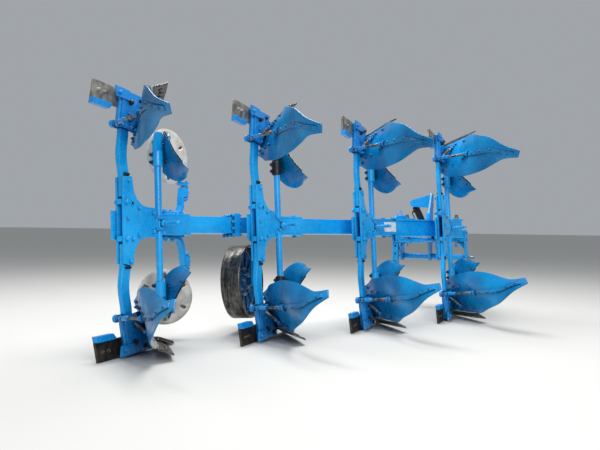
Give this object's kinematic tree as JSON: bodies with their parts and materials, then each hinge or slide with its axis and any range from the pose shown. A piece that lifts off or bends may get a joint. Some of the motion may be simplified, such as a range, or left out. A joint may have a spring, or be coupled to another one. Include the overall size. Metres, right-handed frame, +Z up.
{
  "type": "mounted reversible moldboard plough",
  "caption": "Mounted reversible plough: slanting beam with pairs of bodies above and below, skimmers, disc coulters, a swinging depth wheel and a three-point headstock",
  "frame": {"origin": "middle of the bounding box in x and y, on the ground", "axes": "+Y is the direction of travel, +X is to the right, +Z is up; the plough stands on its lower landsides and its parking stand, with the frame leaned as set for work"},
  "size_m": [2.55, 4.2926, 1.7013],
  "materials": {
    "blue_paint": "gloss enamel, sky blue, lightly scratched",
    "worn_black_steel": "hardened black steel, scoured by soil",
    "board_steel": "blue paint on the backs, soil-polished faces",
    "bright_steel": "bare rolled steel, faint rust",
    "dark_rim_steel": "dark steel, scoured tread",
    "black_casting": "black paint over a cast surface",
    "chromed_rod": "ground and chromed"
  },
  "bodies": {
    "headstock": {"headstock": "blue_paint", "hitch_frame": "blue_paint", "hitch_tube": "blue_paint", "tilt_spindles": "blue_paint", "stand_sleeve": "blue_paint"},
    "parking_stand": {"stand_leg": "blue_paint"},
    "turnover_barrel": {"cylinder_barrel": "black_casting"},
    "turnover_rod": {"cylinder_rod": "chromed_rod"},
    "plough_frame": {"rear_beam": "blue_paint", "front_beam": "blue_paint", "beam_joint": "blue_paint", "cheek_plates": "blue_paint", "axle_carrier": "blue_paint", "turnover_axle": "bright_steel", "bracket_1": "blue_paint", "bracket_2": "blue_paint", "bracket_3": "blue_paint", "bracket_4": "blue_paint", "legs_1": "blue_paint", "legs_2": "blue_paint", "legs_3": "blue_paint", "legs_4": "blue_paint", "frogs": "blue_paint", "landsides": "worn_black_steel", "guard_bars": "blue_paint", "shares_1": "worn_black_steel", "shares_2": "worn_black_steel", "shares_3": "worn_black_steel", "shares_4": "worn_black_steel", "moldboards_1": "board_steel", "moldboards_2": "board_steel", "moldboards_3": "board_steel", "moldboards_4": "board_steel", "board_stays": "blue_paint", "skimmer_stems": "blue_paint", "stem_clamps": "blue_paint", "skimmer_sockets": "black_casting", "skimmer_boards": "blue_paint", "coulter_arms": "blue_paint", "wheel_bracket": "blue_paint"},
    "wheel_arm": {"wheel_swing_arm": "blue_paint"},
    "depth_wheel": {"wheel_rim": "dark_rim_steel", "wheel_disc": "blue_paint"},
    "lower_coulter_fork": {"lower_fork": "blue_paint"},
    "lower_coulter_disc": {"lower_disc": "bright_steel"},
    "upper_coulter_fork": {"upper_fork": "blue_paint"},
    "upper_coulter_disc": {"upper_disc": "bright_steel"}
  },
  "joints": [
    {"name": "turnover", "type": "hinge", "parent": "headstock", "child": "plough_frame", "pos_m": [0.254, 1.92236, 0.79277], "axis": [0, 0.9992, -0.0402], "range_deg": [0, 188]},
    {"name": "stand_slide", "type": "slide", "parent": "headstock", "child": "parking_stand", "axis": [0, 0.0402, 0.9992], "range_m": [0, 0.4]},
    {"name": "barrel_swing", "type": "hinge", "parent": "headstock", "child": "turnover_barrel", "pos_m": [0.004, 2.11229, 1.08536], "axis": [0, 0.9992, -0.0402], "range_deg": [-28.28, 0]},
    {"name": "rod_slide", "type": "slide", "parent": "turnover_barrel", "child": "turnover_rod", "axis": [0.4339, -0.0363, -0.9002], "range_m": [-0.1193, 0]},
    {"name": "wheel_arm_swing", "type": "hinge", "parent": "plough_frame", "child": "wheel_arm", "pos_m": [-0.70618, -0.24564, 0.81289], "axis": [0.9976, 0.0028, 0.0697], "range_deg": [0, 190]},
    {"name": "depth_wheel_spin", "type": "hinge", "parent": "wheel_arm", "child": "depth_wheel", "pos_m": [-0.7955, -0.29972, 0.38605], "axis": [0.9901, 0.1246, 0.0643], "continuous": true},
    {"name": "lower_coulter_swivel", "type": "hinge", "parent": "plough_frame", "child": "lower_coulter_fork", "pos_m": [-1.03203, -0.75246, 0.55466], "axis": [-0.0698, 0.0401, 0.9968], "range_deg": [-9, 46]},
    {"name": "upper_coulter_swivel", "type": "hinge", "parent": "plough_frame", "child": "upper_coulter_fork", "pos_m": [-1.0676, -0.73199, 1.06301], "axis": [-0.0698, 0.0401, 0.9968], "range_deg": [-33, 12]},
    {"name": "lower_disc_spin", "type": "hinge", "parent": "lower_coulter_fork", "child": "lower_coulter_disc", "pos_m": [-1.1294, -0.87388, 0.30193], "axis": [0.693, -0.7168, 0.0774], "continuous": true},
    {"name": "upper_disc_spin", "type": "hinge", "parent": "upper_coulter_fork", "child": "upper_coulter_disc", "pos_m": [-1.11823, -0.87842, 1.31618], "axis": [0.9758, -0.205, 0.0765], "continuous": true}
  ],
  "couplings": [
    {"joint": "barrel_swing", "follows": "turnover", "ratio": -0.14988}
  ]
}
